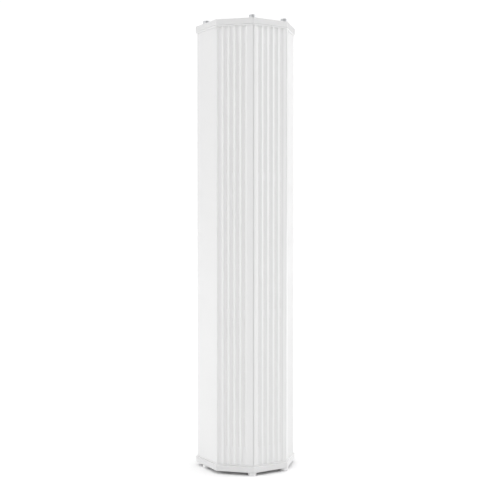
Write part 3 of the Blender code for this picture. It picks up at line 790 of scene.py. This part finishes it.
# %% [markdown]
# ## Black finishes
# The frames are pressed steel with a black electro-coat, the ring magnets are ferrite, a dark
# ceramic ground flat, and the cones are black pulp paper pressed from wet fibres 2 to 3 mm long.
# One recipe suits them all: two close tones in a noise of the right size, with a fine relief.


# %% Black finishes
def speckled(name, light, dark, size, gloss, depth, ior=1.5):
    """Two close tones in grains of one size in metres, with a relief of the same grains."""
    finish, tree, shader, place = start_finish(name)
    grain = add_node(tree, "ShaderNodeTexNoise",
                     values={"Scale": 1.0 / size, "Detail": 4.0, "Roughness": 0.6},
                     links={"Vector": place})
    tone = add_node(tree, "ShaderNodeMix", {"data_type": "RGBA"},
                    {"A": linear(light), "B": linear(dark)}, {"Factor": grain.outputs["Fac"]})
    rough = add_node(tree, "ShaderNodeMapRange",
                     values={"From Min": 0.3, "From Max": 0.7, "To Min": gloss - 0.06,
                             "To Max": gloss + 0.06}, links={"Value": grain.outputs["Fac"]})
    relief = add_node(tree, "ShaderNodeBump", values={"Strength": 0.35, "Distance": depth},
                      links={"Height": grain.outputs["Fac"]})
    tree.links.new(tone.outputs["Result"], shader.inputs["Base Color"])
    tree.links.new(rough.outputs["Result"], shader.inputs["Roughness"])
    tree.links.new(relief.outputs["Normal"], shader.inputs["Normal"])
    shader.inputs["IOR"].default_value = ior
    return finish


coated_steel = speckled("electro_coated_steel", "1B1B1D", "131315", 0.0015, 0.38, 0.00005)
ferrite = speckled("ground_ferrite", "3A3A3C", "2B2B2D", 0.0009, 0.55, 0.00004, 2.3)
pulp_paper = speckled("pressed_pulp_paper", "262626", "161616", 0.0025, 0.85, 0.00015)
butyl = speckled("butyl_rubber_black", "1A1A1A", "121212", 0.0012, 0.62, 0.00006, 1.52)
polyamide = speckled("moulded_polyamide_black", "1E1E1F", "161617", 0.0007, 0.45, 0.00005, 1.53)
print("black finishes:", ferrite.name, pulp_paper.name)

# %% [markdown]
# ## Woven and wound finishes
# The spider is cotton cloth stiffened with resin, the loom sleeve is braided polyester and the
# transformer is a stack of 0.5 mm steel sheets with a taped winding. All of them are fine, even
# stripes. The cloth crosses two sets of stripes 1.2 mm apart, since its real 0.5 mm threads would
# not show, and the sheets are drawn 1 mm apart for the same reason. The stripes are real, but the
# darker grooves between them are painted shade.


# %% Striped finishes
def striped(name, light, dark, directions, pitch, gloss, depth):
    """Even ridges, pitch metres apart, along one or two directions of the object; the grooves are painted
    darker as painted shade.
    """
    finish, tree, shader, place = start_finish(name)
    height = None
    for direction in directions:
        ridges = add_node(tree, "ShaderNodeTexWave", {"bands_direction": direction},
                          {"Scale": WAVE_TURN / pitch, "Distortion": 0.2, "Detail": 1.0},
                          {"Vector": place})
        if height is None:
            height = ridges.outputs["Fac"]
        else:
            height = add_node(tree, "ShaderNodeMath", {"operation": "MULTIPLY"},
                              links={0: height, 1: ridges.outputs["Fac"]}).outputs["Value"]
    # The tone follows the relief: the grooves between the ridges are painted darker, as painted shade.
    tone = add_node(tree, "ShaderNodeMix", {"data_type": "RGBA"},
                    {"A": linear(dark), "B": linear(light)}, {"Factor": height})
    relief = add_node(tree, "ShaderNodeBump", values={"Strength": 0.5, "Distance": depth},
                      links={"Height": height})
    tree.links.new(tone.outputs["Result"], shader.inputs["Base Color"])
    tree.links.new(relief.outputs["Normal"], shader.inputs["Normal"])
    shader.inputs["Roughness"].default_value = gloss
    return finish


spider_cloth = striped("resin_dipped_cotton", "C79A4E", "8A6226", "XZ", 0.0012, 0.7, 0.0003)
braid = striped("braided_polyester_black", "2A2A2B", "0E0E0F", ["DIAGONAL", "Z"], 0.0020, 0.6, 0.0003)
laminations = striped("stacked_electrical_steel", "6B6D70", "3C3E41", "Z", 0.0010, 0.42, 0.0001)
laminations.node_tree.nodes["Principled BSDF"].inputs["Metallic"].default_value = 1.0
winding_tape = striped("polyester_winding_tape", "D9A92B", "A97C14", "Y", 0.0060, 0.3, 0.0001)
print("striped finishes:", spider_cloth.name, winding_tape.name)

# %% [markdown]
# ## Four loudspeakers
# Each driver is a set of turned parts on one axis: a pressed frame with four windows, a ferrite
# ring between two steel plates, the spider, the cone with its coil former, and a half-roll rubber
# surround. All are half outlines spun round the axis, with softened corners. The windows are cut
# with rounded blocks. Only the cone moves, so it rides on its own body, and so does the lip of the
# surround that is glued to it.

# %% Half outlines of a driver
FRAME_LINE = [(43.0, -12.9), (52.0, -12.9), (52.0, -10.9), (44.5, -10.9), (44.5, -6.0), (24.0, 14.0),
              (24.0, 17.0), (14.2, 17.0), (14.2, 15.6), (22.4, 15.6), (22.4, 13.4), (43.0, -6.6),
              (43.0, -12.9)]
RING_LINE = [(20.6, 21.35), (30.0, 21.35), (30.0, 33.25), (20.6, 33.25), (20.6, 21.35)]
WASHER_LINE = [(13.8, 17.3), (27.0, 17.3), (27.0, 21.3), (13.8, 21.3), (13.8, 17.3)]
POLE_LINE = [(0.0, 17.3), (11.8, 17.3), (11.8, 33.3), (27.0, 33.3), (27.0, 37.3), (0.0, 37.3)]
SPIDER_LINE = [(13.4, 11.6), (15.6, 12.6), (17.8, 11.6), (20.0, 12.6), (21.7, 12.0), (21.7, 12.5),
               (20.0, 13.2), (17.8, 12.2), (15.6, 13.2), (13.4, 12.2), (13.4, 11.6)]
CONE_LINE = [(0.0, 2.0), (7.0, 3.2), (13.0, 7.0), (34.6, -12.2), (38.0, -12.9), (38.0, -12.2),
             (34.8, -11.2), (13.1, 8.4), (13.1, 25.0), (12.5, 25.0), (12.5, 8.2), (7.0, 4.4),
             (0.0, 3.2)]
LIP_LINE = [(35.6, -13.3), (38.0, -13.3), (38.0, -14.0), (35.6, -14.0), (35.6, -13.3)]
ROLL_LINE = [(38.2, -14.1), (38.6, -13.3), (40.0, -15.6), (41.8, -16.4), (43.6, -15.6),
             (45.0, -13.3), (49.6, -13.3), (49.6, -14.0), (45.5, -14.0), (44.2, -16.3),
             (41.8, -17.2), (39.4, -16.3), (38.2, -14.1)]
SCREW_LINE = [(0.0, 3.0), (2.4, 3.0), (3.4, 2.5), (4.0, 1.6), (4.0, 0.0), (1.5, 0.0), (1.5, -7.6),
              (0.0, -7.6)]
FORWARD = (0.0, 1.0, 0.0)


def build_driver(number):
    """All pieces of one loudspeaker, at the height of its CAD cone."""
    tag = "driver_" + str(number)
    low, high = heights(tag + "_cone")
    spot = (0.0, 0.0, (low + high) / 2.0)
    shell = turn(FRAME_LINE, 96, spot, FORWARD, 0.8)
    shell_mesh = bpy.data.meshes.new("frame_blank")
    shell.to_mesh(shell_mesh)
    shell.free()
    windows = bmesh.new()
    for quarter in range(4):
        place = (Matrix.Translation(spot) @ Matrix.Rotation(math.radians(90.0 * quarter), 4, "Y")
                 @ Matrix.Translation((40.0, 4.0, 0.0)) @ Matrix.Diagonal((28.0, 15.0, 26.0, 1.0)))
        bmesh.ops.create_cube(windows, size=1.0, matrix=place)
    bmesh.ops.bevel(windows, geom=windows.edges[:], offset=2.0, affect="EDGES", segments=3,
                    profile=0.5, material=-1)
    hand_over("frame_" + str(number), cut(shell_mesh, windows, "windows"), coated_steel,
              [tag + "_basket"])
    hand_over("magnet_ring_" + str(number), turn(RING_LINE, 96, spot, FORWARD, 0.6), ferrite,
              [tag + "_motor"])
    hand_over("front_pole_plate_" + str(number), turn(WASHER_LINE, 96, spot, FORWARD, 0.3), zinc)
    hand_over("back_pole_plate_" + str(number), turn(POLE_LINE, 96, spot, FORWARD, 0.4), zinc)
    hand_over("spider_" + str(number), turn(SPIDER_LINE, 96, spot, FORWARD, 0.7), spider_cloth,
              [tag + "_spider"], crease=60.0)
    hand_over("paper_cone_" + str(number), turn(CONE_LINE, 96, spot, FORWARD, 0.4), pulp_paper,
              [tag + "_cone"], body="cone_" + str(number))
    hand_over("surround_lip_" + str(number), turn(LIP_LINE, 96, spot, FORWARD, 0.2), butyl,
              body="cone_" + str(number))
    hand_over("surround_" + str(number), turn(ROLL_LINE, 96, spot, FORWARD, 0.8), butyl,
              [tag + "_surround"], crease=60.0)
    for mark in "abcd":
        node = "driver_screw_" + str(number) + mark
        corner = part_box(node)
        x, z = ((corner[0][at] + corner[1][at]) / 2.0 / MM for at in (0, 2))
        make_screw("clamp_screw_" + str(number) + mark, SCREW_LINE, (x, -13.2, z),
                   (0.0, -1.0, 0.0), [node])


for number in (1, 2, 3, 4):
    build_driver(number)

# %% [markdown]
# ## Loudspeaker socket
# The cable enters from below, through a round locking socket in the bottom cap. Its black shell is
# moulded polyamide: a flange, a cup and a post in the middle. Two keyways in the cup guide the
# plug, and four grooves in the post hold the plated contacts.

# %% Mould the socket
DOWN = (0.0, 0.0, -1.0)
SOCKET_LINE = [(0.0, -5.0), (5.6, -5.0), (5.6, -22.0), (9.2, -22.0), (9.2, -2.4), (15.0, -2.4),
               (15.0, -4.3), (11.5, -4.3), (11.5, -38.0), (0.0, -38.0)]
socket_spot = (0.0, socket_y, 0.0)
moulding = turn(SOCKET_LINE, 96, socket_spot, DOWN, 0.4)
moulding_mesh = bpy.data.meshes.new("socket_blank")
moulding.to_mesh(moulding_mesh)
moulding.free()
ways = bmesh.new()
for degrees, reach, wide, deep in ((90.0, 9.6, 3.2, 16.0), (270.0, 9.6, 2.2, 16.0)):
    place = (Matrix.Translation((0.0, socket_y, 2.0 + deep / 2.0))
             @ Matrix.Rotation(math.radians(degrees), 4, "Z") @ Matrix.Translation((reach, 0.0, 0.0))
             @ Matrix.Diagonal((1.6, wide, deep, 1.0)))
    bmesh.ops.create_cube(ways, size=1.0, matrix=place)
for degrees in (45.0, 135.0, 225.0, 315.0):
    place = (Matrix.Translation((0.0, socket_y, 12.0))
             @ Matrix.Rotation(math.radians(degrees), 4, "Z") @ Matrix.Translation((5.4, 0.0, 0.0))
             @ Matrix.Diagonal((1.4, 2.6, 15.0, 1.0)))
    bmesh.ops.create_cube(ways, size=1.0, matrix=place)
hand_over("socket_shell", cut(moulding_mesh, ways, "keyways"), polyamide,
          ["input_socket"])
for at, degrees in enumerate((45.0, 135.0, 225.0, 315.0), 1):
    strip = bmesh.new()
    place = (Matrix.Translation((0.0, socket_y, 12.6))
             @ Matrix.Rotation(math.radians(degrees), 4, "Z") @ Matrix.Translation((5.0, 0.0, 0.0))
             @ Matrix.Diagonal((0.6, 1.8, 12.0, 1.0)))
    bmesh.ops.create_cube(strip, size=1.0, matrix=place)
    bmesh.ops.bevel(strip, geom=strip.edges[:], offset=0.18, affect="EDGES", segments=2,
                    profile=0.5, material=-1)
    hand_over("socket_contact_" + str(at), strip, zinc)

# %% [markdown]
# ## Rail nuts
# Two plates slide in the rail at the back, and each takes the M6 bolt of a wall bracket. The plate
# starts as a block with bevelled edges. The thread is a stack of rings 1 mm apart, turned as one
# tool and cut away, which looks like a thread without winding a helix.

# %% Make the nuts
THREAD_LINE = [(0.0, -3.0)] + [(2.5 + 0.5 * (at % 2), -3.0 + 0.5 * at) for at in range(13)] + [(0.0, 3.0)]


def make_nut(node, body):
    """A threaded plate in the place of its CAD node."""
    low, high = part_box(node)
    middle = [(a + b) / 2.0 / MM for a, b in zip(low, high)]
    block = bmesh.new()
    size = Matrix.Diagonal([(b - a) / MM for a, b in zip(low, high)] + [1.0])
    bmesh.ops.create_cube(block, size=1.0, matrix=Matrix.Translation(middle) @ size)
    bmesh.ops.bevel(block, geom=block.edges[:], offset=0.5, affect="EDGES", segments=3,
                    profile=0.5, material=-1)
    block_mesh = bpy.data.meshes.new("nut_blank")
    block.to_mesh(block_mesh)
    block.free()
    thread = turn(THREAD_LINE, 48, middle, FORWARD)
    hand_over("threaded_" + node, cut(block_mesh, thread, "thread"), zinc, [node],
              body=body)


make_nut("rail_nut_lower", "rail_nut_low")
make_nut("rail_nut_upper", "rail_nut_high")

# %% [markdown]
# ## Pieces that keep their CAD shape
# The baffle, the transformer and the wiring loom already have the right shape. They only need
# their finish, which goes into every material slot of the CAD object.

# %% Give the remaining CAD pieces their finish
KEPT = {"baffle": plywood, "transformer_core": laminations, "transformer_coil": winding_tape,
        "wiring_loom": braid}
for node, finish in KEPT.items():
    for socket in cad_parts[node].material_slots:
        socket.material = finish
    print(node, "is now", finish.name)

# %% [markdown]
# ## Floor, light and camera
# The column stands on a plain white floor. Two large soft boxes light it from the left and the
# right, and a broad light hangs overhead. The white room fills the rest, but it is dim in front,
# so that the flutes keep their shadows, and behind, so that no side turns into blank white. Rays
# that go straight to the camera still see it plain white.

# %% Floor
bm = bmesh.new()
bmesh.ops.create_grid(bm, x_segments=1, y_segments=1, size=30.0)
floor_mesh = bpy.data.meshes.new("studio_floor")
bm.to_mesh(floor_mesh)
bm.free()
floor = bpy.data.objects.new("studio_floor", floor_mesh)
bpy.context.scene.collection.objects.link(floor)
paper, tree, shader, place = start_finish("matt_white_paper")
shader.inputs["Base Color"].default_value = linear("F8F8F8")
shader.inputs["Roughness"].default_value = 0.9
shader.inputs["Specular IOR Level"].default_value = 0.0
floor_mesh.materials.append(paper)
print("floor is", floor.dimensions[0], "m wide")

# %% Light
DIM_HEADING = (-0.295, -0.955, 0.0)
SIDE_GLOW = 0.50
NEAR_GLOW = 0.10
BEHIND_GLOW = 0.40
room = bpy.data.worlds.new("white_room")
room.use_nodes = True
tree = room.node_tree
tree.nodes.clear()
heading = add_node(tree, "ShaderNodeTexCoord").outputs["Generated"]
facing = add_node(tree, "ShaderNodeVectorMath", {"operation": "DOT_PRODUCT"},
                  {1: DIM_HEADING}, {0: heading})
shade = add_node(tree, "ShaderNodeMapRange", {"interpolation_type": "SMOOTHSTEP"},
                 {"From Min": 0.50, "From Max": 0.95, "To Min": SIDE_GLOW, "To Max": NEAR_GLOW},
                 {"Value": facing.outputs["Value"]})
behind = add_node(tree, "ShaderNodeMapRange", {"interpolation_type": "SMOOTHSTEP"},
                  {"From Min": -0.9, "From Max": 0.0, "To Min": BEHIND_GLOW, "To Max": 1.0},
                  {"Value": facing.outputs["Value"]})
glow = add_node(tree, "ShaderNodeMath", {"operation": "MULTIPLY"},
                links={0: shade.outputs["Result"], 1: behind.outputs["Result"]})
fill = add_node(tree, "ShaderNodeBackground", values={"Color": (1.0, 1.0, 1.0, 1.0)},
                links={"Strength": glow.outputs["Value"]})
seen = add_node(tree, "ShaderNodeBackground",
                values={"Color": (1.0, 1.0, 1.0, 1.0), "Strength": 1.05})
rays = add_node(tree, "ShaderNodeLightPath")
both = add_node(tree, "ShaderNodeMixShader", links={"Fac": rays.outputs["Is Camera Ray"]})
tree.links.new(fill.outputs["Background"], both.inputs[1])
tree.links.new(seen.outputs["Background"], both.inputs[2])
add_node(tree, "ShaderNodeOutputWorld", links={"Surface": both.outputs["Shader"]})
bpy.context.scene.world = room


def soft_box(name, spot, aim, wide, high, watts):
    """A rectangular light at spot, turned towards aim."""
    lamp = bpy.data.lights.new(name, "AREA")
    lamp.shape = "RECTANGLE"
    lamp.size = wide
    lamp.size_y = high
    lamp.energy = watts
    item = bpy.data.objects.new(name, lamp)
    item.location = spot
    item.rotation_euler = (Vector(aim) - Vector(spot)).to_track_quat("-Z", "Y").to_euler()
    bpy.context.scene.collection.objects.link(item)
    return item


COLUMN_MIDDLE = (0.0, 0.0, 0.33)
soft_box("soft_box_left", (-2.29, 1.19, 0.90), COLUMN_MIDDLE, 1.5, 2.0, 9.8)
soft_box("soft_box_right", (2.48, -0.79, 0.92), COLUMN_MIDDLE, 1.5, 2.0, 19.0)
sky = bpy.data.lights.new("overhead", "SUN")
sky.energy = 2.3
sky.angle = math.radians(120.0)
overhead = bpy.data.objects.new("overhead", sky)
overhead.location = (0.0, 0.0, 3.0)
bpy.context.scene.collection.objects.link(overhead)

# %% Camera
lens = bpy.data.cameras.new("camera")
lens.lens = 68.57
lens.sensor_width = 36.0
lens.shift_x = 0.0011
lens.shift_y = -0.026
lens.clip_start = 0.01
lens.clip_end = 100.0
camera = bpy.data.objects.new("camera", lens)
camera.location = (-0.7182, -1.1689, 0.3626)
camera.rotation_euler = Vector((0.5174, 0.8556, -0.0152)).to_track_quat("-Z", "Y").to_euler()
bpy.context.scene.collection.objects.link(camera)
bpy.context.scene.camera = camera
bpy.context.scene.view_settings.view_transform = "Standard"
bpy.context.scene.view_settings.look = "None"
print("lens", lens.lens, "mm")
